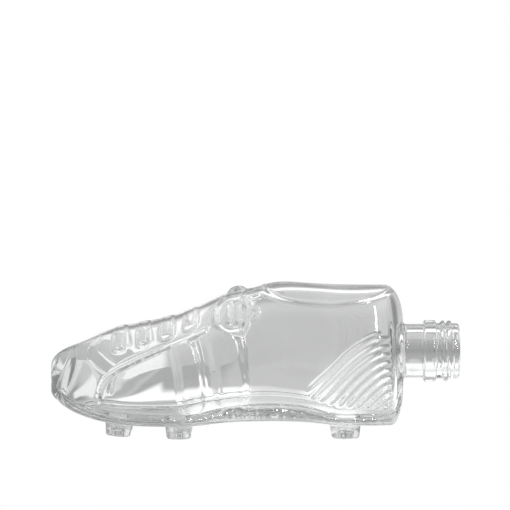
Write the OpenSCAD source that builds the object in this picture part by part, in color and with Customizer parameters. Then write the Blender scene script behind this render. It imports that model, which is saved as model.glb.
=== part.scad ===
// Clear glass bottle in the form of a football boot.
// The boot lies level on its studs, toe towards -X, and the bottle's neck leaves the heel along +X.
// The origin is on the floor under the middle of the length; -Y is the boot's left side.

/* [Body] */
// Toe tip to heel face
body_length = 163.4; // [150:0.2:176]
// Top of the sole under the ball of the foot to the top of the ankle
upper_height = 60.8; // [56:0.2:66]
// Width of the upper across the ball of the foot
forefoot_width = 54; // [48:1:60]
// Width of the upper across the heel
heel_width = 42; // [38:1:48]
// Toe tip to the widest part of the forefoot
toe_box_length = 54; // [44:1:62]
// Rounding of the heel seen from above
heel_round = 14.5; // [9:0.5:15]
// Rounding of the heel's top corner seen from the side
heel_top_round = 8.5; // [5:0.5:11]
// Rounding of the heel where it tucks in over the sole
heel_base_round = 3; // [2:0.5:5]

/* [Glass] */
// Glass in the sides and the top
wall = 3.2; // [2.4:0.1:4]
// Glass at the tip of the toe
toe_wall = 5; // [3.5:0.1:7]
// Glass over the sole plate
floor_wall = 2.2; // [1.6:0.1:3]

/* [Sole] */
// Thickness under the ball and the heel
sole_thickness = 5; // [4:0.1:6]
// Thickness at the waist
shank_thickness = 7.7; // [6:0.1:9]
// Thickness at the tip of the toe
toe_thickness = 6.2; // [5:0.1:7.5]
// Rise of the underside at the tip of the toe
toe_spring = 14.4; // [10:0.1:17]
// Rise of the underside at the waist
arch_rise = 2.2; // [1:0.1:4]
// How far the sole stands out past the upper
welt = 0.5; // [0.2:0.1:1.5]
// Rounding of the sole's edges
sole_edge = 1.6; // [1:0.1:2]
// Rounding of the sole's back end
sole_heel_round = 11; // [6:0.5:13]

/* [Studs] */
// Length of a stud below the sole
stud_height = 6.2; // [5:0.1:9]
// Diameter of the four front studs where they meet the sole
stud_root_d = 12.6; // [10:0.1:14]
// Diameter of the four front studs at the foot
stud_tip_d = 11.4; // [8:0.1:12.4]
// Diameter of the two heel studs where they meet the sole
heel_stud_root_d = 14.2; // [11:0.1:16]
// Diameter of the two heel studs at the foot
heel_stud_tip_d = 13; // [9:0.1:14]
// Rounding round the foot
stud_edge = 1.3; // [0.6:0.1:2]
// Sole's edge to the middle of a toe stud
toe_stud_inset = 14.6; // [11:0.1:17]
// Sole's edge to the middle of a ball stud
ball_stud_inset = 12.2; // [9:0.1:16]
// Sole's edge to the middle of a heel stud
heel_stud_inset = 8.6; // [8:0.1:12]

/* [Neck] */
// Heel face to the mouth
neck_length = 26.2; // [24:0.1:32]
// Outside of the ring that a closure locks under, which the rest of the neck follows
collar_d = 28.6; // [26:0.1:31]
// How far the ring stands out from the neck
collar_step = 1.8; // [1.2:0.1:2.4]
// How far the neck under the thread stands out from the rest
finish_step = 0.4; // [0.2:0.1:0.8]
// Height of the thread
thread_height = 1.2; // [0.5:0.1:1.3]
// Glass in the neck
neck_wall = 3.5; // [2.8:0.1:4]
// Height of the bore above the top of the ball of the sole
neck_rise = 28.2; // [26:0.2:31]
// Fillet where the neck leaves the heel
neck_fillet = 1.8; // [1:0.1:2.5]
// Width of the locking ring
collar_width = 5.5; // [4:0.1:6]
// Mouth to the far face of the locking ring
finish_length = 16.4; // [15:0.1:18]
// Pitch of the thread
thread_pitch = 3; // [2.9:0.1:3.8]
// Turns of the thread
thread_turns = 2; // [1:0.25:2]
// Space between the locking ring and the thread
thread_gap = 0.5; // [0.2:0.1:1]
// Width of the thread at its foot
thread_foot = 2.4; // [1.6:0.1:2.6]
// Rounding of the mouth's edges
lip_round = 1.4; // [0.5:0.1:1.6]

/* [Lacing] */
// Number of laces across the instep
lace_count = 4; // [3:1:4]
// First lace to the next
lace_pitch = 10.8; // [9:0.1:11]
// Width of a lace
lace_width = 5.6; // [4:0.1:6]
// Height of a lace above the glass
lace_height = 0.9; // [0.5:0.1:1.6]
// Width of the round cord of the bow
cord_width = 3.2; // [2:0.1:3.4]
// Height of the bow's cord above the glass
cord_height = 1.5; // [0.8:0.1:2.2]
// Length of the knot
knot_length = 9.4; // [7:0.1:10]
// Width of the knot
knot_width = 9; // [7:0.1:10]
// Height of the knot above the instep
knot_height = 2.4; // [1:0.1:3]

/* [Relief] */
// Width of the seams
seam_width = 1.8; // [1.2:0.1:2.4]
// Height of the seams
seam_height = 0.9; // [0.4:0.1:1.4]
// Width of the rim round the ankle
rim_width = 2.2; // [1.4:0.1:3]
// Height of the rim round the ankle
rim_height = 0.9; // [0.4:0.1:1.4]
// Width of the front band over the side
front_band_width = 13; // [8:0.5:14]
// Width of the rear band over the side
rear_band_width = 16.5; // [9:0.5:17.5]
// Height of the bands
band_height = 0.8; // [0.4:0.1:1.2]
// Number of ribs on each side of the heel
rib_count = 9; // [6:1:10]
// Width of a rib
rib_width = 2.8; // [2:0.1:3.4]
// Height of a rib
rib_height = 1; // [0.4:0.1:1.4]

/* [Hidden] */

LEFT = -1;
RIGHT = 1;
glass_tint = [0.86, 0.90, 0.90, 0.45];
// Clearance under the relief, so that it lies on the facets of the glass and not in them
seat = 0.12;
quarter_angle = 90;
half_angle = 180;
full_angle = 360;
// Step used to measure a slope along the boot, as a share of its length, and round it, in degrees
slope_share = 0.002;
slope_angle = 1;

toe_x = -(body_length + neck_length) / 2;
heel_x = toe_x + body_length;
mouth_x = heel_x + neck_length;
ball_top = stud_height + sole_thickness;
axis_z = ball_top + neck_rise;
collar_r = collar_d / 2;
neck_r = collar_r - collar_step;
finish_r = neck_r + finish_step;
thread_r = finish_r + thread_height;
finish_start = neck_length - finish_length;
bore_r = neck_r - neck_wall;
root_r = neck_r + neck_fillet;
passage_r = bore_r + neck_fillet;

// Side view of the boot, in shares: along the length from the toe, and of the size it follows
crown_shares = [[0, 0.36], [0.007, 0.414], [0.02, 0.45], [0.053, 0.502], [0.098, 0.544], [0.144, 0.606],
                [0.19, 0.651], [0.241, 0.675], [0.31, 0.712], [0.378, 0.762], [0.4465, 0.84], [0.5, 0.906],
                [0.55, 0.936], [0.583, 0.95], [0.617, 0.981], [0.652, 0.998], [0.72, 0.985], [0.8, 0.974],
                [0.9, 0.97], [1, 0.97]];
toe_rise_shares = [[0, 1], [0.007, 0.88], [0.0185, 0.77], [0.03, 0.68], [0.053, 0.49], [0.098, 0.3],
                   [0.144, 0.16], [0.19, 0.075], [0.25, 0.02], [0.31, 0], [1, 0]];
arch_shares = [[0, 0], [0.39, 0], [0.4465, 0.3], [0.481, 0.62], [0.549, 0.92], [0.63, 1], [0.7, 0.86],
               [0.755, 0.5], [0.785, 0.14], [0.8, 0], [1, 0]];
// Plan view: how much of the way from the forefoot's width to the heel's
taper_shares = [[0, 0], [0.33, 0], [0.45, 0.22], [0.58, 0.62], [0.72, 0.9], [0.85, 1], [1, 1]];
// Cross-sections: height of the widest part, and how square the top is
widest_share = 0.3;
tuck_share = 0.25;
toe_square_ratio = 2.15;
ankle_square_ratio = 3;
base_square_ratio = 2.5;
plan_square_ratio = 2.2;
side_square_ratio = 2;
square_shares = [[0, 0], [0.4, 0.1], [0.6, 0.75], [0.75, 1], [1, 1]];

// Offsets of a skin of the glass: sides, toe, floor, neck root and heel
SIDES = 0;
TOE = 1;
FLOOR = 2;
ROOT = 3;
HEEL = 4;
outer = [0, 0, 0, root_r, 0];
inner = [wall, toe_wall, floor_wall, passage_r, wall];

// Smooth curves through tables of points
function secant(t, i) = (t[i + 1].y - t[i].y) / (t[i + 1].x - t[i].x);
function knot_slope(t, i) =
    i == 0 ? secant(t, 0) :
    i == len(t) - 1 ? secant(t, i - 1) :
    let (a = secant(t, i - 1), b = secant(t, i)) a * b <= 0 ? 0 : 2 * a * b / (a + b);
function span_at(t, x, i = 0) = i >= len(t) - 2 || x < t[i + 1].x ? i : span_at(t, x, i + 1);
function curve(t, x) =
    let (i = span_at(t, x), d = t[i + 1].x - t[i].x, u = min(max((x - t[i].x) / d, 0), 1))
    (2 * u ^ 3 - 3 * u ^ 2 + 1) * t[i].y + (u ^ 3 - 2 * u ^ 2 + u) * d * knot_slope(t, i)
    + (3 * u ^ 2 - 2 * u ^ 3) * t[i + 1].y + (u ^ 3 - u ^ 2) * d * knot_slope(t, i + 1);
function column(t, c) = [for (i = [0 : len(t) - 1]) [i, t[i][c]]];
function trace(t, n) =
    [for (i = [0 : n]) let (u = i / n * (len(t) - 1)) [curve(column(t, 0), u), curve(column(t, 1), u)]];

// Rounds off a size as the end of the boot comes within r of it: 0 at the end and 1 from r on
function closing(d, r, p) = d >= r ? 1 : d <= 0 ? 0 : (1 - ((r - d) / r) ^ p) ^ (1 / p);
function mix(a, b, w) = a + (b - a) * w;

// Side view
function sole_bottom(s) =
    stud_height + toe_spring * curve(toe_rise_shares, s) + arch_rise * curve(arch_shares, s);
function sole_depth(s) =
    sole_thickness + (shank_thickness - sole_thickness) * curve(arch_shares, s)
    + (toe_thickness - sole_thickness) * curve(toe_rise_shares, s);
function welt_z(s) = sole_bottom(s) + sole_depth(s);
function crown_z(s) = ball_top + upper_height * curve(crown_shares, s);

// Plan view, as a half width
function nose(s, k) =
    let (box = toe_box_length - k[TOE]) closing(s * body_length - k[TOE], box, plan_square_ratio);
function plan_half(s, k) =
    (mix(forefoot_width, heel_width, curve(taper_shares, s)) / 2 - k[SIDES]) * nose(s, k);

// Sections of the upper at share s of the length, closing to a circle round the neck at the heel
function heel_gap(s, k) = (1 - s) * body_length - k[HEEL];
function half_width(s, k) =
    mix(k[ROOT], plan_half(s, k), closing(heel_gap(s, k), heel_round, plan_square_ratio));
function top_z(s, k) =
    mix(axis_z + k[ROOT], crown_z(s) - k[SIDES], closing(heel_gap(s, k), heel_top_round, side_square_ratio));
function bottom_z(s, k) =
    mix(axis_z - k[ROOT], welt_z(s) + k[FLOOR], closing(heel_gap(s, k), heel_base_round, side_square_ratio));
function squareness(s, k) =
    let (body = mix(toe_square_ratio, ankle_square_ratio, curve(square_shares, s)))
    mix(2, body, closing(heel_gap(s, k), heel_round, plan_square_ratio));
function widest_at(s, k) = mix(0.5, widest_share, closing(heel_gap(s, k), heel_round, plan_square_ratio));
function low_square(s, k) =
    mix(2, base_square_ratio, closing(heel_gap(s, k), heel_base_round, plan_square_ratio));
function tuck(s, k) = mix(0, tuck_share, closing(heel_gap(s, k), heel_base_round, plan_square_ratio));

// A point of the upper: a is 0 along the top, 90 at the widest part and 100 at the welt, minus on the left
side_angle = quarter_angle;
welt_angle = 100;
function section_point(s, a, k) =
    let (b = abs(a), n = squareness(s, k), m = widest_at(s, k), w = half_width(s, k),
         q = b <= side_angle ? m + (1 - m) * cos(b) ^ (2 / n)
                             : m * (welt_angle - b) / (welt_angle - side_angle),
         y = b <= side_angle ? sin(b) ^ (2 / n)
                             : let (p = low_square(s, k)) (1 - ((m - q) / (m + tuck(s, k))) ^ p) ^ (1 / p))
    [toe_x + s * body_length, sign(a) * w * y, mix(bottom_z(s, k), top_z(s, k), q)];
function upper_at(s, a) = section_point(s, a, outer);
// The angle at share q of the height between the welt and the top
function angle_at(s, q) =
    let (m = widest_at(s, outer), n = squareness(s, outer))
    q >= m ? acos(((q - m) / (1 - m)) ^ (n / 2)) : mix(welt_angle, side_angle, q / m);

function unit(v) = v / norm(v);
function outward(s, a) =
    let (along = upper_at(s + slope_share, a) - upper_at(s - slope_share, a),
         around = upper_at(s, a + slope_angle) - upper_at(s, a - slope_angle))
    unit(cross(along, around));

// Joins rings of equal length into one closed skin; both end rings are flat
module skin(rings) {
    n = len(rings[0]);
    last = len(rings) - 1;
    walls = [for (i = [0 : last - 1], j = [0 : n - 1])
                 let (a = i * n + j, b = i * n + (j + 1) % n)
                 each [[a, b, b + n], [a, b + n, a + n]]];
    polyhedron(points = [for (r = rings) each r],
               faces = concat([[for (j = [n - 1 : -1 : 0]) j]], walls,
                              [[for (j = [0 : n - 1]) last * n + j]]));
}

// Stations along the boot, close together where the toe and the heel round off
toe_ring_count = 8;
side_ring_count = 28;
heel_ring_count = 8;
tip_share = 0.0002;
toe_cap_share = 0.1;
heel_cap_share = heel_round / body_length;
stations = concat(
    [for (i = [0 : toe_ring_count - 1]) max(tip_share, toe_cap_share * (i / toe_ring_count) ^ 2)],
    [for (i = [0 : side_ring_count - 1]) mix(toe_cap_share, 1 - heel_cap_share, i / side_ring_count)],
    [for (i = [0 : heel_ring_count]) 1 - heel_cap_share * (1 - i / heel_ring_count) ^ 2]);
upper_step_count = 14;
lower_step_count = 4;
half_angles = concat(
    [for (i = [1 : upper_step_count]) side_angle * i / upper_step_count],
    [for (i = [1 : lower_step_count]) mix(side_angle, welt_angle, i / lower_step_count)]);
ring_angles = concat([for (i = [len(half_angles) - 1 : -1 : 0]) -half_angles[i]], [0], half_angles);
function ring(s, k) = [for (a = ring_angles) section_point(s, a, k)];
function inner_share(t) = (toe_wall + t * (body_length - toe_wall - wall)) / body_length;
function circle_ring(x, r) =
    [for (p = ring(1, outer)) [x, p.y * r / root_r, axis_z + (p.z - axis_z) * r / root_r]];

// The hollow upper: outer skin from the toe to the neck root, and back along the inside
module body_shell() {
    outside = [for (s = stations) ring(s, outer)];
    inside = [for (i = [len(stations) - 1 : -1 : 0]) ring(inner_share(stations[i]), inner)];
    color(glass_tint) skin(concat(outside, [circle_ring(heel_x, passage_r)], inside));
}

// The solid plate under the upper, with its toe turned up and its waist arched
sole_corner_step_count = 4;
sole_end_share = 0.4;
module sole_plate() {
    last = 1 - heel_base_round * sole_end_share / body_length;
    color(glass_tint) skin([for (s = concat([for (s = stations) if (s < last) s], [last])) sole_ring(s)]);
}
function sole_half(s) =
    mix(root_r, plan_half(s, outer) + welt * nose(s, outer),
        closing(heel_gap(s, outer), heel_round, plan_square_ratio));
function sole_ring(s) =
    let (w = sole_half(s), top = welt_z(s),
         depth = sole_depth(s) * closing(heel_gap(s, outer), sole_heel_round, side_square_ratio),
         r = min(sole_edge, w / 2, depth / 3), x = toe_x + s * body_length,
         arc = [for (i = [0 : sole_corner_step_count]) quarter_angle * i / sole_corner_step_count],
         side = concat([for (t = arc) [w - r + r * sin(t), top - r + r * cos(t)]],
                       [for (t = arc) [w - r + r * cos(t), top - depth + r - r * sin(t)]]))
    concat([for (p = side) [x, p.x, p.y]],
           [for (i = [len(side) - 1 : -1 : 0]) [x, -side[i].x, side[i].y]]);

// Studs: a tapered post with a rounded foot, standing square to the sole
toe_stud_share = 0.196;
ball_stud_share = 0.365;
heel_stud_share = 0.8355;
foot_step_count = 6;
module stud(s, inset, side, root_d, tip_d) {
    rise = toe_spring * (curve(toe_rise_shares, s + slope_share) - curve(toe_rise_shares, s - slope_share));
    tilt = atan2(rise, 2 * slope_share * body_length);
    root = root_d / 2;
    tip = tip_d / 2;
    foot = [for (i = [0 : foot_step_count])
                let (t = quarter_angle * i / foot_step_count)
                [tip - stud_edge + stud_edge * sin(t), stud_edge - stud_edge * cos(t) - stud_height]];
    color(glass_tint)
        translate([toe_x + s * body_length, side * (sole_half(s) - inset), sole_bottom(s)])
        rotate([0, -tilt, 0])
        rotate_extrude($fn = 64) polygon(concat([[0, 0], [0, -stud_height]], foot, [[root, 0]]));
}

module front_stud(s, inset, side) { stud(s, inset, side, stud_root_d, stud_tip_d); }
module heel_stud(side) { stud(heel_stud_share, heel_stud_inset, side, heel_stud_root_d, heel_stud_tip_d); }

// Neck: a plain tube with a fillet at its root, drawn along its own axis from the heel face
round_step_count = 6;
module along_neck() { translate([heel_x, 0, axis_z]) rotate([0, quarter_angle, 0]) children(); }
module neck_tube() {
    turn = [for (i = [0 : round_step_count]) quarter_angle * i / round_step_count];
    root = [for (t = turn) [root_r - neck_fillet * sin(t), neck_fillet - neck_fillet * cos(t)]];
    step = [[neck_r, finish_start + collar_width], [finish_r, finish_start + collar_width]];
    lip_z = neck_length - lip_round;
    lip = [for (t = turn) [finish_r - lip_round + lip_round * cos(t), lip_z + lip_round * sin(t)]];
    mouth = [for (t = turn) [bore_r + lip_round - lip_round * sin(t), lip_z + lip_round * cos(t)]];
    passage = [for (t = turn) [passage_r - neck_fillet * cos(t), neck_fillet - neck_fillet * sin(t)]];
    color(glass_tint) along_neck()
        rotate_extrude($fn = 96) polygon(concat(root, step, lip, mouth, passage));
}

// The ring that a closure's skirt locks under
collar_slope_share = 0.2;
module neck_collar() {
    start = finish_start;
    slope = collar_step * collar_slope_share;
    color(glass_tint) along_neck()
        rotate_extrude($fn = 96)
        polygon([[neck_r, start], [collar_r - slope, start], [collar_r, start + slope],
                 [collar_r, start + collar_width - slope], [collar_r - slope, start + collar_width],
                 [neck_r, start + collar_width]]);
}

// The thread, one unbroken bead wound on the neck between the ring and the mouth
thread_side_count = 30;
thread_crest_share = 0.55;
thread_fade_share = 0.08;
function thread_ring(t) =
    let (fade = min(1, t / thread_fade_share, (1 - t) / thread_fade_share),
         angle = full_angle * thread_turns * t,
         foot_r = (finish_r + seat) / cos(half_angle / thread_side_count),
         crest_r = mix(foot_r + seat, thread_r, fade),
         low = finish_start + collar_width + thread_gap + thread_foot / 2,
         z = low + thread_pitch * thread_turns * t,
         crest = thread_foot * thread_crest_share)
    [for (p = [[foot_r, -thread_foot / 2], [crest_r, -crest / 2],
               [crest_r, crest / 2], [foot_r, thread_foot / 2]])
         [p.x * cos(angle), p.x * sin(angle), z + p.y]];
module neck_thread() {
    n = ceil(thread_turns * thread_side_count);
    color(glass_tint) along_neck() skin([for (i = [0 : n]) thread_ring(i / n)]);
}

// Relief: a raised strip that follows the surface along a path of [station, angle]
crown_profile_shares = [[-0.5, 0], [-0.33, 0.78], [0, 1], [0.33, 0.78], [0.5, 0]];
flat_profile_shares = [[-0.5, 0], [-0.42, 1], [0, 1], [0.42, 1], [0.5, 0]];
function strip_ring(path, i, width, height, profile, ends, closed) =
    let (n = len(path) - 1, p = path[i],
         before = closed && i == 0 ? n : max(i - 1, 0), after = closed && i == n ? 0 : min(i + 1, n),
         up = outward(p.x, p.y),
         way = unit(upper_at(path[after].x, path[after].y) - upper_at(path[before].x, path[before].y)),
         across = unit(cross(way, up)),
         fade = closed ? 1 : min(1, mix(ends, 1, i / 2), mix(ends, 1, (n - i) / 2)))
    [for (c = profile) upper_at(p.x, p.y) + across * c.x * width * fade + up * (seat + c.y * height * fade)];
module strip(path, width, height, profile, ends) {
    color(glass_tint)
        skin([for (i = [0 : len(path) - 1]) strip_ring(path, i, width, height, profile, ends, false)]);
}
strip_end_share = 0.5;
function side_path(shares, n, side) =
    [for (p = trace(shares, n)) [p.x, side * angle_at(p.x, p.y)]];

// Seams: the winged toe cap, and the eyestays that run from the toe up beside the laces
toe_cap_shares = [[0.166, 0.49], [0.138, 0.6], [0.116, 0.74], [0.112, 0.83], [0.123, 0.91]];
eyestay_shares = [[0.139, 0.07], [0.144, 0.25], [0.158, 0.4], [0.19, 0.51], [0.224, 0.575], [0.31, 0.69],
                  [0.395, 0.742], [0.45, 0.76]];
throat_shares = [[0.567, 0.938], [0.58, 0.94], [0.594, 0.944]];
wing_share = 0.146;
seam_step_count = 20;
throat_step_count = 4;
wing_step_count = 4;
module toe_cap_seam() {
    half = side_path(toe_cap_shares, seam_step_count / 2, LEFT);
    top = half[len(half) - 1];
    peak = [for (i = [1 : wing_step_count])
                let (u = i / wing_step_count)
                [mix(top.x, wing_share, sin(quarter_angle * u)), top.y * (1 - u)]];
    near = concat(half, peak);
    far = [for (i = [len(near) - 2 : -1 : 0]) [near[i].x, -near[i].y]];
    strip(concat(near, far), seam_width, seam_height, crown_profile_shares, strip_end_share);
}
module eyestay_seam(side) {
    line = side_path(eyestay_shares, seam_step_count, side);
    throat = side_path(throat_shares, throat_step_count, side);
    for (path = [line, throat])
        strip(path, seam_width, seam_height, crown_profile_shares, strip_end_share);
}

// Laces: flat bars across the instep, each ending in an eyelet on either side
first_lace_share = 0.197;
lace_foot_shares = [0.75, 0.775, 0.81, 0.84];
lace_step_count = 12;
eyelet_step_count = 8;
eyelet_wire_share = 0.2;
eyelet_reach_share = 0.42;
eyelet_drop_share = 0.6;
function lace_share(i) = first_lace_share + i * lace_pitch / body_length;
module lace(i) {
    s = lace_share(i);
    foot = angle_at(s, lace_foot_shares[i]);
    if (i < lace_count)
        strip([for (j = [0 : lace_step_count]) [s, mix(-foot, foot, j / lace_step_count)]],
              lace_width, lace_height, flat_profile_shares, strip_end_share);
}
// A half ring of wire under the end of each lace
module eyelets(side) {
    wire = lace_width * eyelet_wire_share;
    reach = lace_width * eyelet_reach_share;
    for (i = [0 : lace_count - 1]) {
        s = lace_share(i);
        foot = angle_at(s, lace_foot_shares[i]);
        per_degree = norm(upper_at(s, foot + slope_angle) - upper_at(s, foot)) / slope_angle;
        drop = reach * eyelet_drop_share / per_degree;
        strip([for (j = [0 : eyelet_step_count])
                   let (t = half_angle * j / eyelet_step_count)
                   [s - reach * cos(t) / body_length, side * (foot + drop * sin(t))]],
              wire, seam_height, crown_profile_shares, strip_end_share);
    }
}

// Bow: a knot on the instep, a loop and two loose ends down each side, and a small loop behind
knot_share = 0.529;
bow_shares = [[0.503, 0.984], [0.482, 0.957], [0.47, 0.891], [0.47, 0.807], [0.484, 0.721], [0.5125, 0.654],
              [0.541, 0.656], [0.555, 0.732], [0.5565, 0.823], [0.5495, 0.915], [0.541, 0.977]];
lace_end_shares = [[[0.507, 0.942], [0.504, 0.847], [0.504, 0.745]],
                   [[0.532, 0.925], [0.531, 0.83], [0.5296, 0.73]]];
small_loop_shares = [[0.574, 0.84], [0.582, 0.828], [0.5855, 0.796], [0.582, 0.76], [0.574, 0.738]];
bow_step_count = 26;
end_step_count = 6;
small_loop_step_count = 8;
small_cord_share = 0.45;
knot_ring_count = 4;
knot_side_count = 20;
module bow_loop(side) {
    strip(side_path(bow_shares, bow_step_count, side), cord_width, cord_height,
          crown_profile_shares, strip_end_share);
}
module lace_ends(side) {
    for (t = lace_end_shares)
        strip(side_path(t, end_step_count, side), cord_width, cord_height,
              crown_profile_shares, strip_end_share);
}
module small_loop(side) {
    strip(side_path(small_loop_shares, small_loop_step_count, side), cord_width * small_cord_share,
          cord_height * small_cord_share, crown_profile_shares, strip_end_share);
}
// A shallow dome: rings from its foot on the glass up to a small flat crest
knot_crest_share = 0.12;
function knot_ring(h, f) =
    [for (j = [0 : knot_side_count - 1])
         let (t = full_angle * j / knot_side_count,
              s = knot_share + knot_length / 2 * f * cos(t) / body_length,
              y = knot_width / 2 * f * sin(t), w = half_width(s, outer),
              a = asin((abs(y) / w) ^ (squareness(s, outer) / 2)) * sign(y))
         upper_at(s, a) + outward(s, a) * (seat + h)];
module bow_knot() {
    color(glass_tint)
        skin(concat([knot_ring(0, knot_crest_share)],
                    [for (i = [0 : knot_ring_count])
                         let (t = quarter_angle * i / knot_ring_count)
                         knot_ring(knot_height * sin(t), max(knot_crest_share, cos(t)))]));
}

// Bands over each side, from the welt up to the eyestay
front_band_shares = [[0.403, 0.08], [0.396, 0.3], [0.385, 0.55], [0.378, 0.64]];
rear_band_shares = [[0.515, 0.08], [0.51, 0.25], [0.502, 0.45], [0.495, 0.57]];
band_step_count = 12;
module side_band(shares, width, side) {
    strip(side_path(shares, band_step_count, side), width, band_height, flat_profile_shares, 1);
}

// Ribs that fan out over the heel, each rising steeply from the welt and levelling towards the back
rib_start_shares = [0.728, 0.945];
rib_end_share = 0.978;
rib_foot_share = 0.05;
rib_top_shares = [0.6, 0.1];
rib_bend_ratios = [1.8, 1.2];
rib_step_count = 12;
function rib_path(f, side) =
    [for (i = [0 : rib_step_count])
         let (u = i / rib_step_count,
              start = mix(rib_start_shares[0], rib_start_shares[1], f),
              top = mix(rib_top_shares[0], rib_top_shares[1], f),
              s = mix(start, rib_end_share, u),
              bend = mix(rib_bend_ratios[0], rib_bend_ratios[1], f),
              q = mix(rib_foot_share, top, 1 - (1 - u) ^ bend))
         [s, side * angle_at(s, q)]];
module heel_ribs(side) {
    for (i = [0 : rib_count - 1])
        strip(rib_path(i / (rib_count - 1), side), rib_width, rib_height,
              crown_profile_shares, strip_end_share);
}

// The rim round the ankle, one closed loop
rim_shares = [[0.608, 0.985], [0.618, 0.945], [0.666, 0.872], [0.72, 0.856], [0.78, 0.857], [0.85, 0.878],
              [0.914, 0.912], [0.952, 0.955], [0.962, 0.985]];
rim_front_share = 0.604;
rim_back_share = 0.966;
rim_step_count = 28;
module ankle_rim() {
    near = side_path(rim_shares, rim_step_count, LEFT);
    far = [for (i = [len(near) - 1 : -1 : 0]) [near[i].x, -near[i].y]];
    path = concat([[rim_front_share, 0]], near, [[rim_back_share, 0]], far);
    n = len(path);
    rings = [for (i = [0 : n - 1])
                 strip_ring(path, i, rim_width, rim_height, crown_profile_shares, 1, true)];
    m = len(rings[0]);
    color(glass_tint)
        polyhedron(points = [for (r = rings) each r],
                   faces = [for (i = [0 : n - 1], j = [0 : m - 1])
                                let (a = i * m + j, b = i * m + (j + 1) % m,
                                     c = (i + 1) % n * m + (j + 1) % m, d = (i + 1) % n * m + j)
                                each [[a, b, c], [a, c, d]]]);
}

body_shell();
sole_plate();
front_stud(toe_stud_share, toe_stud_inset, LEFT);  // toe_stud_left
front_stud(toe_stud_share, toe_stud_inset, RIGHT);  // toe_stud_right
front_stud(ball_stud_share, ball_stud_inset, LEFT);  // ball_stud_left
front_stud(ball_stud_share, ball_stud_inset, RIGHT);  // ball_stud_right
heel_stud(LEFT);  // heel_stud_left
heel_stud(RIGHT);  // heel_stud_right
neck_tube();
neck_collar();
neck_thread();
toe_cap_seam();
eyestay_seam(LEFT);  // eyestay_seam_left
eyestay_seam(RIGHT);  // eyestay_seam_right
lace(0);  // lace_1
lace(1);  // lace_2
lace(2);  // lace_3
lace(3);  // lace_4
eyelets(LEFT);  // eyelets_left
eyelets(RIGHT);  // eyelets_right
bow_knot();
bow_loop(LEFT);  // bow_loop_left
bow_loop(RIGHT);  // bow_loop_right
lace_ends(LEFT);  // lace_ends_left
lace_ends(RIGHT);  // lace_ends_right
small_loop(LEFT);  // small_loop_left
small_loop(RIGHT);  // small_loop_right
side_band(front_band_shares, front_band_width, LEFT);  // front_band_left
side_band(front_band_shares, front_band_width, RIGHT);  // front_band_right
side_band(rear_band_shares, rear_band_width, LEFT);  // rear_band_left
side_band(rear_band_shares, rear_band_width, RIGHT);  // rear_band_right
heel_ribs(LEFT);  // heel_ribs_left
heel_ribs(RIGHT);  // heel_ribs_right
ankle_rim();
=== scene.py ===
import math

import bmesh
import bpy
import numpy as np
from mathutils import Matrix, Vector


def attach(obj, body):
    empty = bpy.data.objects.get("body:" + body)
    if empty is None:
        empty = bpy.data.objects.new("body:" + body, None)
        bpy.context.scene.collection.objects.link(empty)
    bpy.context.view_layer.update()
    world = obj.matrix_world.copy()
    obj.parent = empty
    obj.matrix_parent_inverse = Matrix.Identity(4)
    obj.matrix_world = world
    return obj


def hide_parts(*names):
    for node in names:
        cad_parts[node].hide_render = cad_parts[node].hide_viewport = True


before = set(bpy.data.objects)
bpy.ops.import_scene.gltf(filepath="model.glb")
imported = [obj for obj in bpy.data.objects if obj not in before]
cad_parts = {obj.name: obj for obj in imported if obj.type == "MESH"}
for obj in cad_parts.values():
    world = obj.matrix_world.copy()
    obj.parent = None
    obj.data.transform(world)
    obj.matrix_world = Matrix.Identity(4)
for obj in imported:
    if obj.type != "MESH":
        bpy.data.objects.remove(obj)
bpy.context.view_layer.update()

# The boot's body: the hollow upper and the solid sole under it, one blow of clear flint glass in a mould.
# Its side view and plan are tables over the share of the length from toe to heel, with sizes in millimetres.
# Each ring of the body runs from the crown down to the welt, round the sole's rim and along its underside.
toe_x, heel_x = -94.8, 68.6
boot_length = heel_x - toe_x
forefoot_half, heel_taper = 27, 6
toe_box, nose_power = 54, 2.2
stud_height = 6.2
sole_thickness, arch_thickening, toe_thickening = 5, 2.7, 1.2
toe_spring, arch_rise = 14.4, 2.2
welt_ledge, rim_round = .5, 2.3
ball_top = stud_height + sole_thickness
ankle_height = 60.8
neck_axis_z = 39.4
neck_root = 14.3
crown_shares = [(0, .36), (.007, .414), (.02, .45), (.053, .502), (.098, .544), (.144, .606), (.19, .651),
                (.241, .675), (.31, .712), (.378, .762), (.4465, .84), (.5, .906), (.55, .936), (.583, .95),
                (.617, .981), (.652, .998), (.72, .985), (.8, .974), (.9, .97), (1, .97)]
toe_rise_shares = [(0, 1), (.007, .88), (.0185, .77), (.03, .68), (.053, .49), (.098, .3), (.144, .16),
                   (.19, .075), (.25, .02), (.31, 0), (1, 0)]
arch_shares = [(0, 0), (.39, 0), (.4465, .3), (.481, .62), (.549, .92), (.63, 1), (.7, .86), (.755, .5),
               (.785, .14), (.8, 0), (1, 0)]
taper_shares = [(0, 0), (.33, 0), (.45, .22), (.58, .62), (.72, .9), (.85, 1), (1, 1)]
square_shares = [(0, 0), (.4, .1), (.6, .75), (.75, 1), (1, 1)]


def fair_curve(table, at):
    """A smooth curve through a table's points, which never swings past them."""
    x, y = np.array(table, float).T
    step = np.diff(x)
    rise = np.diff(y) / step
    bend = rise[:-1] * rise[1:]
    inner = np.where(bend > 0, 2 * bend / np.where(bend > 0, rise[:-1] + rise[1:], 1), 0)
    slope = np.concatenate([rise[:1], inner, rise[-1:]])
    i = np.clip(np.searchsorted(x, at, "right") - 1, 0, len(x) - 2)
    u = np.clip((at - x[i]) / step[i], 0, 1)
    return ((2 * u**3 - 3 * u**2 + 1) * y[i] + (u**3 - 2 * u**2 + u) * step[i] * slope[i]
            + (3 * u**2 - 2 * u**3) * y[i + 1] + (u**3 - u**2) * step[i] * slope[i + 1])


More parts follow.
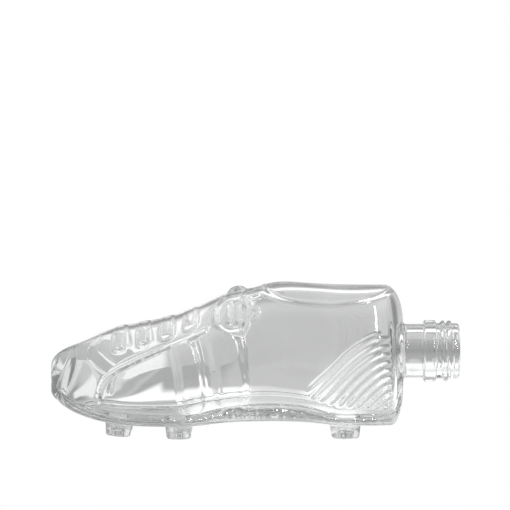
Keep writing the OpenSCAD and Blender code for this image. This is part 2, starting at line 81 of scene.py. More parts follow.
def rounding(gap, reach, power):
    """How full a size is at a gap from the end where it rounds off: 0 at the end, 1 from the reach on."""
    left = np.clip(1 - np.asarray(gap, float) / reach, 0, 1)
    return (1 - left**power) ** (1 / power)


def smooth_step(u):
    """0 up to 0 and 1 from 1 on, with a soft start and end between them."""
    u = np.clip(u, 0, 1)
    return u * u * (3 - 2 * u)


def run_along(line):
    """The distance along a line at each of its points."""
    return np.concatenate([[0], np.cumsum(np.linalg.norm(np.diff(line, axis=0), axis=1))])


def sole_under(s):
    """The height of the underside at a share of the length."""
    return stud_height + toe_spring * fair_curve(toe_rise_shares, s) + arch_rise * fair_curve(arch_shares, s)


def sole_depth(s):
    """The thickness of the sole at a share of the length."""
    return (sole_thickness + arch_thickening * fair_curve(arch_shares, s)
            + toe_thickening * fair_curve(toe_rise_shares, s))


def half_width(s, wall, toe_wall, box=toe_box, power=nose_power):
    """Half of the plan's width, inside a wall and a thicker wall at the nose."""
    nose = rounding(s * boot_length - toe_wall, box - toe_wall, power)
    return (forefoot_half - heel_taper * fair_curve(taper_shares, s) - wall) * nose


def even_steps(y, z, count):
    """Points at even steps along a line in the plane of a ring."""
    run = run_along(np.stack([y, z], 1))
    at = np.linspace(0, run[-1], count + 1)
    return np.stack([np.interp(at, run, y), np.interp(at, run, z)], 1)


def upper_line(s, wall, toe_wall, floor_lift, box=toe_box, power=nose_power):
    """Half of the upper's section, from the middle of the crown to the welt."""
    widest, tuck, low_power = .3, .25, 2.5
    round_power, square_gain, crowding = 2.15, .85, 1.5
    u = np.linspace(0, 1, 161)
    crowded = np.where(u < .5, .5 * (2 * u) ** crowding, 1 - .5 * (2 - 2 * u) ** crowding)
    angle = crowded * math.pi / 2
    bend = 2 / (round_power + square_gain * fair_curve(square_shares, s))
    down = np.linspace(1, 0, 41)[1:]
    share = np.concatenate([widest + (1 - widest) * np.cos(angle) ** bend, widest * down])
    tucked = (1 - (widest * (1 - down) / (widest + tuck)) ** low_power) ** (1 / low_power)
    out = np.concatenate([np.sin(angle) ** bend, tucked])
    low = sole_under(s) + sole_depth(s) + floor_lift
    crown = ball_top + ankle_height * fair_curve(crown_shares, s) - wall
    return half_width(s, wall, toe_wall, box, power) * out, low + share * (crown - low)


def sole_line(s, start):
    """From the welt out over the ledge, round the rim and down to the edge of the underside."""
    depths_in_round = 2.3
    edge = half_width(s, 0, 0) + welt_ledge * rounding(s * boot_length, toe_box, nose_power)
    depth, under = sole_depth(s), sole_under(s)
    top = under + depth
    r = min(rim_round, edge / 2, depth / depths_in_round)
    t = np.linspace(0, math.pi / 2, 9)
    y = np.concatenate([[start], edge - r + r * np.sin(t), edge - r + r * np.cos(t)])
    z = np.concatenate([[top], top - r + r * np.cos(t), under + r - r * np.sin(t)])
    return y, z


def faired(halves, along, around):
    """Whole rings from halves, with corners softened round each ring and bumps faired along the boot."""
    rings = np.concatenate([halves, (halves * (-1, 1))[:, -2:0:-1]], 1)
    for _ in range(around):
        rings = (np.roll(rings, 1, 1) + 2 * rings + np.roll(rings, -1, 1)) / 4
    for _ in range(along):
        rings[1:-1] = (rings[:-2] + 2 * rings[1:-1] + rings[2:]) / 4
    rings[0, :, 0] = 0
    return rings


def heel_closed(rings, gap, radius, side_round, top_round, base_round):
    """Draws the rings in to a circle round the neck where the heel rounds off."""
    side_power, top_power, base_power = 2.2, 2, 2.2
    angle = np.arange(rings.shape[1]) * 2 * math.pi / rings.shape[1]
    side = rounding(gap, side_round, side_power)[:, None]
    top = rounding(gap, top_round, top_power)[:, None]
    base = rounding(gap, base_round, base_power)[:, None]
    lower = smooth_step(.5 - np.cos(angle))
    upright = (1 - lower) * top + lower * base
    round_y, round_z = radius * np.sin(angle), neck_axis_z + radius * np.cos(angle)
    return np.stack([round_y + (rings[..., 0] - round_y) * side,
                     round_z + (rings[..., 1] - round_z) * upright], -1)


def stations(first, last, count, spacing):
    """Shares of the length at which rings stand, close together where the toe and the heel round off."""
    end_reach, closest = 10, .04
    s = np.linspace(first, last, 20001)
    toe_end, heel_end = (np.clip(np.sqrt(np.abs(s - end) * boot_length / end_reach), closest, 1)
                         for end in (first, last))
    run = np.cumsum(1 / (fair_curve(spacing, s) * toe_end * heel_end))
    return np.interp(np.linspace(run[0], run[-1], count), run, s)


def on_length(s, yz):
    """Rings of points from the shares of the length at which they stand and their places across it."""
    x = np.repeat((toe_x + s * boot_length)[:, None], yz.shape[1], 1)
    return np.concatenate([x[..., None], yz], -1)


upper_steps, rim_steps, under_steps = 122, 12, 8
body_rings = 266
body_spacing = [(0, .62), (.3, .6), (.36, .5), (.58, .5), (.62, .6), (.64, .75), (.7, .75), (.73, .58),
                (1, .58)]
body_s = stations(0, 1, body_rings, body_spacing)
body_halves = []
for s in body_s:
    upper = upper_line(s, wall=0, toe_wall=0, floor_lift=0)
    rim = sole_line(s, upper[0][-1])
    under = [rim[0][-1], 0], [rim[1][-1]] * 2
    body_halves.append(np.concatenate([even_steps(*upper, upper_steps), even_steps(*rim, rim_steps)[1:],
                                       even_steps(*under, under_steps)[1:]]))
body_gap = (1 - body_s) * boot_length
body_yz = faired(np.array(body_halves), along=40, around=4)
body_yz = heel_closed(body_yz, body_gap, neck_root, side_round=17, top_round=8.5, base_round=6)
body = on_length(body_s, body_yz)

# The relief: seams, laces, bow, side bands, heel ribs and ankle rim, cut into the mould so that they stand
# out from the glass, then the sole's mottled rim and the groove at the welt. Each follows a path over the
# skin, in shares of the length and of the height from welt to crown, and lifts the skin outwards.
along_skin = np.gradient(body, axis=0)
wrapped = np.concatenate([body[:, -1:], body, body[:, :1]], 1)
around_skin = (wrapped[:, 2:] - wrapped[:, :-2]) / 2
outward = np.cross(along_skin, around_skin)
outward /= np.maximum(np.linalg.norm(outward, axis=-1, keepdims=True), 1e-9)
outward[0] = (-1, 0, 0)
half_steps = upper_steps + rim_steps + under_steps
skin = body[:, :half_steps + 1]
relief = np.zeros(skin.shape[:2])


def skin_ring(s):
    """One half of the ring at a share of the length."""
    at = np.interp(s, body_s, np.arange(body_rings))
    k = min(int(at), body_rings - 2)
    return skin[k] + (at - k) * (skin[k + 1] - skin[k])


def on_skin(s, q, drop=0):
    """The point of the skin at height share q, or that many millimetres further down the side."""
    ring = skin_ring(s)[:upper_steps + 1]
    share = (ring[:, 2] - ring[-1, 2]) / (ring[0, 2] - ring[-1, 2])
    run = run_along(ring)
    at = np.interp(-q, -share, run) + drop
    return [np.interp(at, run, ring[:, k]) for k in range(3)]


def skin_path(shares, count=60):
    """A smooth path over the skin through a table of places."""
    knots = np.arange(len(shares))
    u = np.linspace(0, len(shares) - 1, count)
    s, q = (fair_curve(list(zip(knots, column)), u) for column in zip(*shares))
    return np.array([on_skin(*spot) for spot in zip(s, q)])


def away_from(path, reach):
    """How far each point of the skin is from a path, and the share of the path at which it is nearest."""
    near, share = np.full(relief.shape, np.inf), np.zeros(relief.shape)
    box = np.all((skin > path.min(0) - reach) & (skin < path.max(0) + reach), -1)
    points = skin[box]
    best, where = np.full(len(points), np.inf), np.zeros(len(points))
    for k, (a, b) in enumerate(zip(path[:-1], path[1:])):
        along = np.clip((points - a) @ (b - a) / max((b - a) @ (b - a), 1e-12), 0, 1)
        off = np.linalg.norm(points - a - along[:, None] * (b - a), axis=1)
        where = np.where(off < best, (k + along) / (len(path) - 1), where)
        best = np.minimum(best, off)
    near[box], share[box] = best, where
    return near, share


def lift(height):
    """Raises the relief to a height wherever it is lower."""
    np.maximum(relief, height, out=relief)


def cord(path, width, height, start=1e-6, end=1e-6):
    """A rounded ridge, which rises over a share of its start and sinks over a share of its end."""
    roundness = 1.5
    near, share = away_from(path, width)
    u = np.clip(near / (width / 2), 0, 1)
    ridge = height * (1 - u * u) ** roundness
    lift(ridge * smooth_step(share / start) * smooth_step((1 - share) / end))


def strap(path, width, height, edge):
    """A flat ridge with soft edges."""
    near, _ = away_from(path, width)
    lift(height * smooth_step((width / 2 - near) / edge))


toe_cap_path = [(.166, .49), (.138, .6), (.116, .74), (.112, .83), (.123, .91), (.138, .97), (.146, 1)]
eyestay_path = [(.139, .07), (.144, .25), (.158, .4), (.19, .51), (.224, .575), (.31, .69), (.395, .742),
                (.45, .76)]
throat_path = [(.567, .938), (.58, .94), (.594, .944)]
cord(skin_path(toe_cap_path), width=1.6, height=.5, start=.02, end=.3)
cord(skin_path(eyestay_path), width=2.6, height=1.2, start=.08, end=.05)
cord(skin_path(throat_path), width=1.8, height=.5, start=.2, end=.2)

lace_foot_shares = .75, .775, .81, .84
first_lace_share, lace_step, lace_half = .197, 10.8, 2.8
lace_side_edge, lace_foot_edge = .6, .5
lace_height, lace_sink, sink_rate, sink_start = .8, .5, 1.6, .5
eyelet_half, eyelet_drop = 2.35, 1.4
welt_height = skin[:, upper_steps:upper_steps + 1, 2]
upper_height = skin[:, :1, 2] - welt_height
upper_share = (skin[..., 2] - welt_height) / np.maximum(upper_height, 1e-6)
for i, foot in enumerate(lace_foot_shares):
    s = first_lace_share + i * lace_step / boot_length
    within_sides = lace_half - np.abs(skin[..., 0] - toe_x - s * boot_length)
    above_foot = (upper_share - foot) * upper_height
    sunk = smooth_step((upper_share - foot) / (1 - foot) * sink_rate - sink_start)
    bar = (lace_height - lace_sink * sunk) * smooth_step(within_sides / lace_side_edge)
    lift(bar * smooth_step(above_foot / lace_foot_edge))
    eyelet = [on_skin(s - eyelet_half * math.cos(t) / boot_length, foot, eyelet_drop * math.sin(t))
              for t in np.linspace(0, math.pi, 24)]
    cord(np.array(eyelet), width=1.3, height=.5)

bow_path = [(.503, .984), (.482, .957), (.47, .891), (.47, .807), (.484, .721), (.5125, .654), (.541, .656),
            (.555, .732), (.5565, .823), (.5495, .915), (.541, .977)]
lace_end_paths = [(.507, .942), (.504, .847), (.504, .745)], [(.532, .925), (.531, .83), (.5296, .73)]
small_loop_path = [(.574, .84), (.582, .828), (.5855, .796), (.582, .76), (.574, .738)]
cord(skin_path(bow_path, 100), width=3, height=1.5, start=.12, end=.12)
for path in lace_end_paths:
    cord(skin_path(path), width=2.8, height=1.5, start=.3, end=.05)
cord(skin_path(small_loop_path), width=1.6, height=.9)
knot_share, knot_half_length, knot_half_width = .529, 4.7, 4.5
knot_height, knot_power = 2.3, 2.6
knot_x = toe_x + knot_share * boot_length
knot_span = np.hypot((skin[..., 0] - knot_x) / knot_half_length, skin[..., 1] / knot_half_width)
knot_span[skin[..., 2] < neck_axis_z] = 1
lift(knot_height * np.clip(1 - knot_span**knot_power, 0, 1))

front_band_path = [(.403, .1), (.396, .3), (.385, .55), (.378, .64)]
rear_band_path = [(.515, .1), (.51, .25), (.502, .45), (.495, .57)]
strap(skin_path(front_band_path), width=13, height=.9, edge=2)
strap(skin_path(rear_band_path), width=17, height=1.1, edge=3.2)

rib_count = 9
rib_root_share, rib_fan_share, rib_end_share = .728, .217, .968
rib_foot_share, rib_rise_share, rib_drop_share = .05, .55, .5
rib_bend, rib_unbend = 1.8, .6
along_rib = np.linspace(0, 1, 40)
for fan in np.arange(rib_count) / (rib_count - 1):
    root = rib_root_share + rib_fan_share * fan
    rise = rib_rise_share - rib_drop_share * fan
    rib_s = root + (rib_end_share - root) * along_rib
    rib_q = rib_foot_share + rise * (1 - (1 - along_rib) ** (rib_bend - rib_unbend * fan))
    rib = np.array([on_skin(*spot) for spot in zip(rib_s, rib_q)])
    cord(rib, width=2.8, height=1.2, start=.1, end=.22)

ankle_rim_path = [(.604, 1), (.608, .985), (.618, .945), (.666, .872), (.72, .856), (.78, .857), (.85, .878),
                  (.914, .912), (.952, .955), (.962, .985), (.966, 1)]
cord(skin_path(ankle_rim_path, 120), width=2.6, height=.95, start=.12, end=.16)

waist_start_share, waist_end_share, waist_fade_share = .36, .8, .06
mottle_start_share, mottle_fade_share = .05, .1
tick_height, swell_height, mottle_height = .07, .05, .06
rim_share = np.clip((np.arange(half_steps + 1) - upper_steps) / rim_steps, 0, 1)


def ripples(waves):
    """Sine waves along the sole and round its rim, each with a pitch, turns round the rim and a phase."""
    return sum(np.sin(skin[:, :1, 0] * pitch + 2 * math.pi * turns * rim_share + phase)
               for pitch, turns, phase in waves)


ticks = ripples([(2.7, 0, 0), (1.9, 0, 1.3)])
swell = ripples([(1.13, 0, .7), (.74, 0, 2.9), (1.61, 0, 0)])
mottle = ripples([(1.9, .8, .3), (-1.5, 1.3, 2), (2.5, -1.1, 4.4), (-2.2, .6, 1.1)])
at_waist = (smooth_step((body_s - waist_start_share) / waist_fade_share)
            * smooth_step((waist_end_share - body_s) / waist_fade_share))[:, None]
past_toe = smooth_step((body_s - mottle_start_share) / mottle_fade_share)[:, None]
rim_relief = tick_height * at_waist * (2 + ticks) + swell_height * swell + mottle_height * mottle * past_toe
relief = relief + rim_relief * np.sin(math.pi * rim_share) ** 2

groove_depth, groove_steps, groove_fade = .16, 1.6, 14
groove = np.exp(-((np.arange(half_steps + 1) - upper_steps) / groove_steps) ** 2)
relief = relief - groove_depth * groove * smooth_step((1 - body_s[:, None]) * boot_length / groove_fade)
softening = .12, .76, .12
for axis in (0, 1):
    first, last = np.take(relief, [0], axis), np.take(relief, [-1], axis)
    padded = np.concatenate([first, relief, last], axis)
    places = np.arange(relief.shape[axis])
    relief = sum(k * np.take(padded, places + i, axis) for i, k in enumerate(softening))
both_sides = np.concatenate([relief, relief[:, -2:0:-1]], 1)
body = body + outward * both_sides[..., None]

# The neck and the inside: a round neck leaves the heel, with the ring that a closure locks under, a screw
# thread and a rounded mouth. The bore leads back into the cavity for the drink, whose walls are a little
# wavy and whose tip leans back in the thick toe. It is blown in one with the body, from the neck's root on.
neck_sides = 112
neck_length = 26.2
neck_radius, finish_radius, bore_radius = 12.5, 12.9, 9
root_fillet, lip_round = 1.8, 1.4
ring_start, ring_end, ring_radius, ring_bevel = 9.8, 15.3, 14.3, .36
bore_start = 23
bore_root = bore_radius + root_fillet
lip_x = neck_length - lip_round
turn = np.arange(neck_sides) * 2 * math.pi / neck_sides
right_angle = math.pi / 2
quarter = np.linspace(0, right_angle, 13)


def arc(middle, height, radius, angles):
    """Points on a circle round a middle and a height."""
    return [(middle + radius * math.cos(t), height + radius * math.sin(t)) for t in angles]


fillet = arc(root_fillet, neck_root, root_fillet, quarter[2:] + math.pi)
ring_line = [(ring_start, neck_radius), (ring_start, ring_radius - ring_bevel),
             (ring_start + ring_bevel, ring_radius), (ring_end - ring_bevel, ring_radius),
             (ring_end, ring_radius - ring_bevel), (ring_end, finish_radius)]
lip = arc(lip_x, finish_radius - lip_round, lip_round, right_angle - quarter)
mouth = arc(lip_x, bore_radius + lip_round, lip_round, -quarter)
bore = [(x, bore_radius) for x in np.linspace(bore_start, root_fillet, 11)]
bore_flare = arc(root_fillet, bore_root, root_fillet, -right_angle - quarter[3::3])


def even_line(line, spacing, blur):
    """Points at even steps along a neck's profile, its corners eased as a mould's are."""
    fine_steps = 4000
    run = run_along(line)
    fine = np.linspace(0, run[-1], fine_steps + 1)
    dense = np.stack([np.interp(fine, run, line[:, k]) for k in range(2)], 1)
    width = int(blur / run[-1] * fine_steps)
    weight = np.hanning(2 * width + 3)
    padded = np.concatenate([np.repeat(dense[:1], width + 1, 0), dense, np.repeat(dense[-1:], width + 1, 0)])
    soft = np.stack([np.convolve(padded[:, k], weight / weight.sum(), "valid") for k in range(2)], 1)
    soft[0], soft[-1] = dense[0], dense[-1]
    return soft[np.linspace(0, fine_steps, int(run[-1] / spacing)).astype(int)]


neck_outside = even_line(np.array(fillet + ring_line + lip + mouth), spacing=.5, blur=.5)
neck_line = np.concatenate([neck_outside, bore, bore_flare])
neck_x, neck_r = neck_line[:, :1], neck_line[:, 1:]

thread_start, thread_pitch, thread_turns = 17, 3, 2
thread_height, thread_half, thread_edge, thread_fade = 1.2, 1.2, .6, .12
thread_floor = 12
wound = (np.arctan2(np.sin(turn), -np.cos(turn)) / (2 * math.pi)) % 1
thread = np.zeros((len(neck_line), neck_sides))
for lap in range(thread_turns):
    laps = wound + lap
    fade = smooth_step(np.minimum(laps, thread_turns - laps) / thread_fade)
    off = np.abs(neck_x - (thread_start + thread_pitch * laps))
    thread = np.maximum(thread, thread_height * fade * smooth_step((thread_half - off) / thread_edge))
thread[neck_r[:, 0] < thread_floor] = 0
threaded_r = neck_r + thread
neck = np.stack([np.repeat(heel_x + neck_x, neck_sides, 1), threaded_r * np.sin(turn),
                 neck_axis_z + threaded_r * np.cos(turn)], -1)

side_glass, toe_glass, cavity_floor_lift = 3.2, 9.5, -.8
cavity_box, cavity_nose_power = 60, 2
cavity_rings, cavity_spacing = 70, [(0, 2.4), (1, 2.4)]
cavity_upper_steps, cavity_under_steps = 44, 12
cavity_s = stations(toe_glass / boot_length, 1 - side_glass / boot_length, cavity_rings, cavity_spacing)
cavity_halves = []
for s in cavity_s:
    upper = upper_line(s, side_glass, toe_glass, cavity_floor_lift, cavity_box, cavity_nose_power)
    under = [upper[0][-1], 0], [upper[1][-1]] * 2
    cavity_halves.append(np.concatenate([even_steps(*upper, cavity_upper_steps),
                                         even_steps(*under, cavity_under_steps)[1:]]))
close_rings = faired(np.array(cavity_halves), along=6, around=4)
round_rings = faired(np.array(cavity_halves), along=6, around=28)
low_side = smooth_step(-2 * np.cos(turn))[:, None]
cavity_gap = (1 - cavity_s) * boot_length - side_glass
cavity_yz = close_rings + (round_rings - close_rings) * low_side
cavity_yz = heel_closed(cavity_yz, cavity_gap, bore_root, side_round=14, top_round=5.5, base_round=4)

blown_waves = (9, 2, .4), (6.3, 3, 1.9), (4.4, 1, 4.1), (13, 4, 2.6)
wave_height, forefoot_wave_height = .1, .12
forefoot_end_share, forefoot_fade_share = .66, .2
swing = sum(np.sin(cavity_s[:, None] * boot_length / pitch + lobes * turn + phase)
            for pitch, lobes, phase in blown_waves)
middle = cavity_yz.mean(1, keepdims=True)
spoke = (cavity_yz - middle) / np.maximum(np.linalg.norm(cavity_yz - middle, axis=-1, keepdims=True), 1e-6)
still_ends = np.sqrt(np.sin(np.linspace(0, 1, cavity_rings) * math.pi))[:, None]
forefoot = smooth_step((forefoot_end_share - cavity_s[:, None]) / forefoot_fade_share)
swing *= still_ends * (wave_height + forefoot_wave_height * forefoot * smooth_step(.5 - np.cos(turn)))
cavity = on_length(cavity_s, cavity_yz + spoke * swing[..., None])
tip_lean, lean_middle_z = .3, 30
lean_start_share, lean_fade_share = .17, .12
leaning = smooth_step((lean_start_share - cavity_s[:, None]) / lean_fade_share)
cavity[..., 0] += tip_lean * (cavity[..., 2] - lean_middle_z) * leaning
inside = np.concatenate([neck, cavity[::-1]])


def spin_line(bm, points, axis, sides):
    """Spins a line of points right round an axis."""
    chain = [bm.verts.new(point) for point in points]
    edges = [bm.edges.new(pair) for pair in zip(chain, chain[1:])]
    bmesh.ops.spin(bm, geom=chain + edges, cent=(0, 0, 0), axis=axis, angle=2 * math.pi, steps=sides,
                   use_merge=True, use_duplicate=False)


def blow(bm, mould):
    """Spins a tube of glass and presses each of its points to its place in the mould."""
    rings, sides = mould.shape[:2]
    first = len(bm.verts)
    spin_line(bm, [(i, 0, 1) for i in range(rings)], (1, 0, 0), sides)
    for v in list(bm.verts)[first:]:
        side = round(math.atan2(v.co.y, v.co.z) / (2 * math.pi) * sides) % sides
        v.co = mould[round(v.co.x), side]


merge_gap = 1e-5
glass = bmesh.new()
blow(glass, body)
blow(glass, inside)
bmesh.ops.remove_doubles(glass, verts=glass.verts, dist=merge_gap)
bmesh.ops.bridge_loops(glass, edges=[e for e in glass.edges if e.is_boundary])
bmesh.ops.recalc_face_normals(glass, faces=glass.faces)

# The studs: six short tapered posts pressed into the underside, four under the forefoot and two under the
# heel, each with a rounded foot and a flare into the sole, and one glass with it. A row gives its share of
# the length, its distance from the middle, and the radius of its studs at the root and at the tip.
stud_rows = (.196, 11.7, 6.3, 5.7), (.365, 15.128, 6.3, 5.7), (.8355, 12.911, 7.1, 6.5)
stud_sides = 48
foot_round = 1.3
stud_bury = 1.4
flare_line = [(-.1, -.8), (.05, -.4), (.35, 0), (.9, .3), (.9, stud_bury)]
slope_reach = .002
studs = bmesh.new()
for s, out, root, tip in stud_rows:
    rise = sole_under(s + slope_reach) - sole_under(s - slope_reach)
    slope = math.atan(rise / (2 * slope_reach * boot_length))
    foot = arc(tip - foot_round, foot_round - stud_height, foot_round, quarter[::2] - right_angle)
    flare = [(root + r, z) for r, z in flare_line]
    outline = [(0, -stud_height)] + foot + flare + [(0, stud_bury)]
    for side in (-1, 1):
        spin_line(studs, [(r, 0, z) for r, z in outline], (0, 0, 1), stud_sides)
        under_sole = Matrix.Translation((toe_x + s * boot_length, side * out, sole_under(s)))
        new = [v for v in studs.verts if not v.tag]
        bmesh.ops.transform(studs, matrix=under_sole @ Matrix.Rotation(-slope, 4, "Y"), verts=new)
        for v in new:
            v.tag = True
bmesh.ops.remove_doubles(studs, verts=studs.verts, dist=merge_gap)
bmesh.ops.recalc_face_normals(studs, faces=studs.faces)

# The finished bottle: body, neck, cavity and studs are one piece of glass, because separate clear pieces
# would show false faces inside. It is clear flint glass, fire-polished above, with the mould's fine grain
# left on the sole and the studs, and the slight waves and faint cool tint of blown glass.
mm = .001
sharp_edge = math.radians(48)


def mesh_from(bm, name):
    """A finished mesh from its bmesh, which is freed."""
    mesh = bpy.data.meshes.new(name)
    bm.to_mesh(mesh)
    bm.free()
    return mesh


def set_down(name, data):
    """A new object at the origin of the scene."""
    made = bpy.data.objects.new(name, data)
    bpy.context.scene.collection.objects.link(made)
    return made


for part in (glass, studs):
    bmesh.ops.scale(part, vec=(mm, mm, mm), verts=part.verts)
plain_mesh, stud_mesh = mesh_from(glass, "bottle"), mesh_from(studs, "studs")
bottle = set_down("boot_bottle", plain_mesh)
stud_tool = set_down("stud_tool", stud_mesh)
union = bottle.modifiers.new("studs", "BOOLEAN")
union.operation = "UNION"
union.solver = "EXACT"
union.object = stud_tool
joined = bpy.data.meshes.new_from_object(bottle.evaluated_get(bpy.context.evaluated_depsgraph_get()))
bottle.modifiers.clear()
bottle.data = joined
bpy.data.objects.remove(stud_tool)
for mesh in (plain_mesh, stud_mesh):
    bpy.data.meshes.remove(mesh)
joined.name = "boot_bottle"
joined.shade_smooth()
joined.set_sharp_from_angle(angle=sharp_edge)


class Tone:
    """A shader socket, so that a pattern is written as plain sums."""

    def __init__(self, tree, socket=None):
        self.tree, self.socket = tree, socket

    def node(self, kind, settings=None, sockets=None, out=0):
        """One output of a new node, from its settings and the values or links of its sockets."""
        made = self.tree.nodes.new(kind)
        for name, value in (settings or {}).items():
            setattr(made, name, value)
        for name, value in (sockets or {}).items():
            if isinstance(value, Tone):
                self.tree.links.new(value.socket, made.inputs[name])
            else:
                made.inputs[name].default_value = value
        return Tone(self.tree, made.outputs[out])

    def feed(self, socket):
        """Links the tone to a socket."""
        self.tree.links.new(self.socket, socket)

    def maths(self, operation, a, b):
        """A sum of two tones or numbers."""
        return self.node("ShaderNodeMath", {"operation": operation}, {0: a, 1: b})

    def __add__(self, other):
        return self.maths("ADD", self, other)

    def __radd__(self, other):
        return self.maths("ADD", other, self)

    def __sub__(self, other):
        return self.maths("SUBTRACT", self, other)

    def __rsub__(self, other):
        return self.maths("SUBTRACT", other, self)

    def __mul__(self, other):
        return self.maths("MULTIPLY", self, other)

    def __rmul__(self, other):
        return self.maths("MULTIPLY", other, self)


def split(vector, axes):
    """The numbers of a vector along the axes that are asked for."""
    return [vector.node("ShaderNodeSeparateXYZ", sockets={0: vector}, out=axis) for axis in axes]


def mixed(factor, first, second):
    """A colour between two others."""
    colours = {"Factor": factor, "A": first, "B": second}
    return factor.node("ShaderNodeMix", {"data_type": "RGBA"}, colours, 2)


def eased(value, start, end):
    """0 before the start and 1 past the end, with a soft edge between."""
    return value.node("ShaderNodeMapRange", {"interpolation_type": "SMOOTHSTEP"},
                      {"Value": value, "From Min": start, "From Max": end})


def span(value, start, full, fade, end):
    """0 before the start and past the end, and 1 from full to fade, with soft edges between."""
    return eased(value, start, full) * (1 - eased(value, fade, end))


flint = bpy.data.materials.new("clear_flint")
flint.use_nodes = True
tree = flint.node_tree
shader = next(n for n in tree.nodes if n.type == "BSDF_PRINCIPLED")
surface_out = next(n for n in tree.nodes if n.type == "OUTPUT_MATERIAL")
shader.inputs["Transmission Weight"].default_value = 1
shader.inputs["IOR"].default_value = 1.5
wave_depth, grain_depth, grain_roughness = .35, .14, .04
waist_sole_rise, grain_fade = .005, .003
cool_grey, cool_white = (.972, .976, .974, 1), (.984, .987, .986, 1)
place = Tone(tree).node("ShaderNodeTexCoord", out="Object")
length, height = split(place, "XZ")
wave = place.node("ShaderNodeTexNoise", {}, {"Vector": place, "Scale": 34, "Detail": 1}, "Fac")
grain = place.node("ShaderNodeTexNoise", {}, {"Vector": place, "Scale": 600, "Detail": 2}, "Fac")
sole_top = ball_top * mm + waist_sole_rise * span(length, -.03, 0, .028, .038)
low = eased(height - sole_top, 0, -grain_fade)
uneven = wave * wave_depth + grain * low * grain_depth
bump = place.node("ShaderNodeBump", {}, {"Strength": .5, "Distance": mm, "Height": uneven})
mixed(wave, cool_grey, cool_white).feed(shader.inputs["Base Color"])
(low * grain_roughness).feed(shader.inputs["Roughness"])
bump.feed(shader.inputs["Normal"])
depth_tint = tree.nodes.new("ShaderNodeVolumeAbsorption")
depth_tint.inputs["Color"].default_value = (.4, .44, .425, 1)
depth_tint.inputs["Density"].default_value = 10
tree.links.new(depth_tint.outputs["Volume"], surface_out.inputs["Volume"])
joined.materials.clear()
joined.materials.append(flint)
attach(bottle, "root")
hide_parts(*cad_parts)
bottle.visible_shadow = False
bottle.visible_diffuse = False

# The table: a round white top, which the camera sees as plain white. It is no lamp, yet it glows: through
# the glass it shows a painted pool of light behind the bottle, with painted shade by the toe, under the heel
# and behind the waist, and soft greys beyond with painted shade over them. Places on it are in metres, right
# along the boot and back from the camera.
table_radius = .6
table_grey, pool_light = .61, .64
disc = bmesh.new()
bmesh.ops.create_circle(disc, cap_ends=True, segments=96, radius=table_radius)
floor_mesh = mesh_from(disc, "floor")
floor = set_down("floor", floor_mesh)


def bare_material(mesh, name):
    """The empty node tree of a mesh's new material."""
    material = bpy.data.materials.new(name)
    mesh.materials.append(material)
    material.use_nodes = True
    material.node_tree.nodes.clear()
    return material.node_tree


def light_up(tree, colour):
    """Makes a bare material glow in a colour."""
    glow = Tone(tree).node("ShaderNodeEmission", sockets={"Color": colour})
    glow.feed(tree.nodes.new("ShaderNodeOutputMaterial").inputs["Surface"])


def white_to_camera(grey):
    """A grey that the camera itself sees as white."""
    seen = grey.node("ShaderNodeLightPath", out="Is Camera Ray")
    return mixed(seen, grey, (1, 1, 1, 1))


tree = bare_material(floor_mesh, "table_with_painted_light")
right, back = split(Tone(tree).node("ShaderNodeTexCoord", out="Object"), "XY")
# Painted light: a glowing pool on the table behind the bottle, where no lamp shines.
pool_end = .15 - .03 * eased(right, 0, .012) + .06 * eased(right, -.05, -.06)
pool_front = .5 + .5 * eased(back, -.05, -.03)
pool = eased(back - pool_end, .03, -.03) * eased(right, -.105, -.085) * pool_front
# Painted shade: dark patches in the pool behind the waist and the heel, by the toe and under the heel, which
# the bottle itself does not cast.
painted_shade_behind_waist = .7 * span(right, -.008, .004, .018, .03)
painted_shade_behind_heel = .3 * span(right, .03, .06, .074, .08)
painted_shade_by_toe = 1.05 * (1 - eased(back, .065, .09)) * (1 - eased(right, -.036, -.022))
painted_shadow_under_heel = .6 * eased(right, .045, .055) * (1 - eased(back, .005, .02))
painted_dimming = painted_shade_behind_waist + painted_shade_behind_heel + painted_shade_by_toe + painted_shadow_under_heel
# Painted shade on the greys beyond the pool, behind the forefoot, the heel and the toe, less a painted light
# patch far to the left.
forefoot_shade = .14 * span(right, -.01, -.03, -.085, -.098)
heel_shade = .28 * eased(right, .08, .095)
toe_shade = .1 * eased(right, -.1, -.12)
far_light = .3 * eased(right, -.14, -.16) * eased(back, .38, .45)
shade = forefoot_shade + heel_shade + toe_shade - far_light
light_up(tree, white_to_camera(table_grey + pool_light * pool * (1 - painted_dimming) - shade * (1 - pool)))

# The room: soft plain greys all round, which the camera sees as plain white. Through the glass there is a
# grey back wall with a darker band across it, dark far sides, a glow on the left, a bright ceiling and a dim
# front. A direction is given by its parts across to the right, ahead and up.
wall_grey, left_gain, right_gain, side_loss = .6, .06, .07, .38
band_loss, glow_gain, left_side_gain, ceiling_gain, front_loss = .3, .4, .22, .7, .68
room = bpy.data.worlds.new("room")
bpy.context.scene.world = room
room.use_nodes = True
tree = room.node_tree
across, ahead, up = split(Tone(tree).node("ShaderNodeTexCoord", out="Generated"), "XYZ")
behind = eased(ahead, .2, .6)
far_sides = eased(across, .39, .77) + eased(across, -.76, -.84)
back_wall = (wall_grey + left_gain * eased(across, -.05, -.14) + right_gain * eased(across, .05, .14)
             - side_loss * far_sides)
ankle_window = span(across, -.03, 0, .12, .15) * (1 - eased(up, .38, .45))
left_glow = span(across, -.06, -.09, -.18, -.24) * behind * (1 - eased(up, .2, .3))
left_side = span(across, -.4, -.46, -.76, -.82)
straight_back = behind * (1 - eased(across * across, .08, .12))
band = span(up, .04, .18, .62, .72) * (1 - .7 * ankle_window) * (1 - left_glow) * straight_back
ceiling = eased(up, .5, .85)
front = eased(ahead, -.6, -.95) * (1 - eased(up, .4, .7))
room_grey = (back_wall - band_loss * band + glow_gain * left_glow + left_side_gain * left_side
             + ceiling_gain * ceiling) * (1 - front_loss * front)
sky = next(n for n in tree.nodes if n.type == "BACKGROUND")
white_to_camera(room_grey).feed(sky.inputs["Color"])

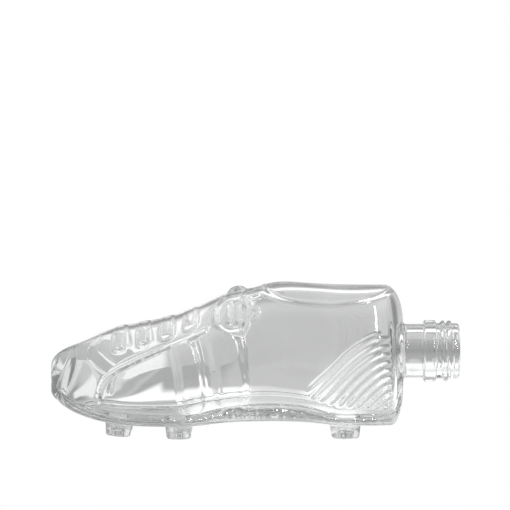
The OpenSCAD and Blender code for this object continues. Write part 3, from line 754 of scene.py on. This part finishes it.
# The grey card and the strip light: a small card close behind the neck, which the camera doesn't see, gives
# the neck its dark band. A tall narrow lamp in front draws the bright line on the heel. Its light counts
# only where the outside mirrors it, and not where it would be seen through the glass.
card_middle, card_half_length, card_half_height = (.099, .024, .0392), .028, .0079
card_grey = (.4, .4, .4, 1)
card = bmesh.new()
bmesh.ops.create_grid(card, x_segments=2, y_segments=2, size=1)
card_size = Matrix.Diagonal((card_half_length, card_half_height, 1, 1))
upright_card = Matrix.Translation(card_middle) @ Matrix.Rotation(math.pi / 2, 4, "X") @ card_size
bmesh.ops.transform(card, matrix=upright_card, verts=card.verts)
card_mesh = mesh_from(card, "grey_card")
grey_card = set_down("grey_card", card_mesh)
grey_card.visible_camera = False
# The card glows a flat grey of its own and no lamp lights it: a sheet that stands in for the shade seen
# through the neck.
light_up(bare_material(card_mesh, "grey_card"), card_grey)

strip_width, strip_height, strip_power = .05, .9, 6
strip_place, strip_target = (.295, -1.2, .75), (.05, 0, .05)
strip = bpy.data.lights.new("strip_light", "AREA")
strip.shape = "RECTANGLE"
strip.size, strip.size_y, strip.energy = strip_width, strip_height, strip_power
strip.use_nodes = True
lamp = next(n for n in strip.node_tree.nodes if n.type == "EMISSION")
through_glass = Tone(strip.node_tree).node("ShaderNodeLightPath", out="Transmission Depth")
(1 - eased(through_glass, 0, 1)).feed(lamp.inputs["Strength"])


def facing(place, target):
    """The turn that points a lamp or a camera at a target."""
    return (Vector(target) - Vector(place)).to_track_quat("-Z", "Y").to_euler()


strip_light = set_down("strip_light", strip)
strip_light.location = strip_place
strip_light.rotation_euler = facing(strip_place, strip_target)

# The camera: a long lens well in front of the bottle and a little above it, as the photograph was taken.
# Light may turn many times inside the glass before it is given up, because otherwise the edges go black.
eye, aim, long_lens = (0, -1.4918, .1568), (0, .0088, .0836), 227
glass_turns = 32
camera = set_down("camera", bpy.data.cameras.new("camera"))
camera.data.lens = long_lens
camera.location = eye
camera.rotation_euler = facing(eye, aim)
bpy.context.scene.camera = camera
bpy.context.scene.view_settings.view_transform = "Standard"
paths = bpy.context.scene.cycles
paths.max_bounces = paths.glossy_bounces = paths.transmission_bounces = glass_turns
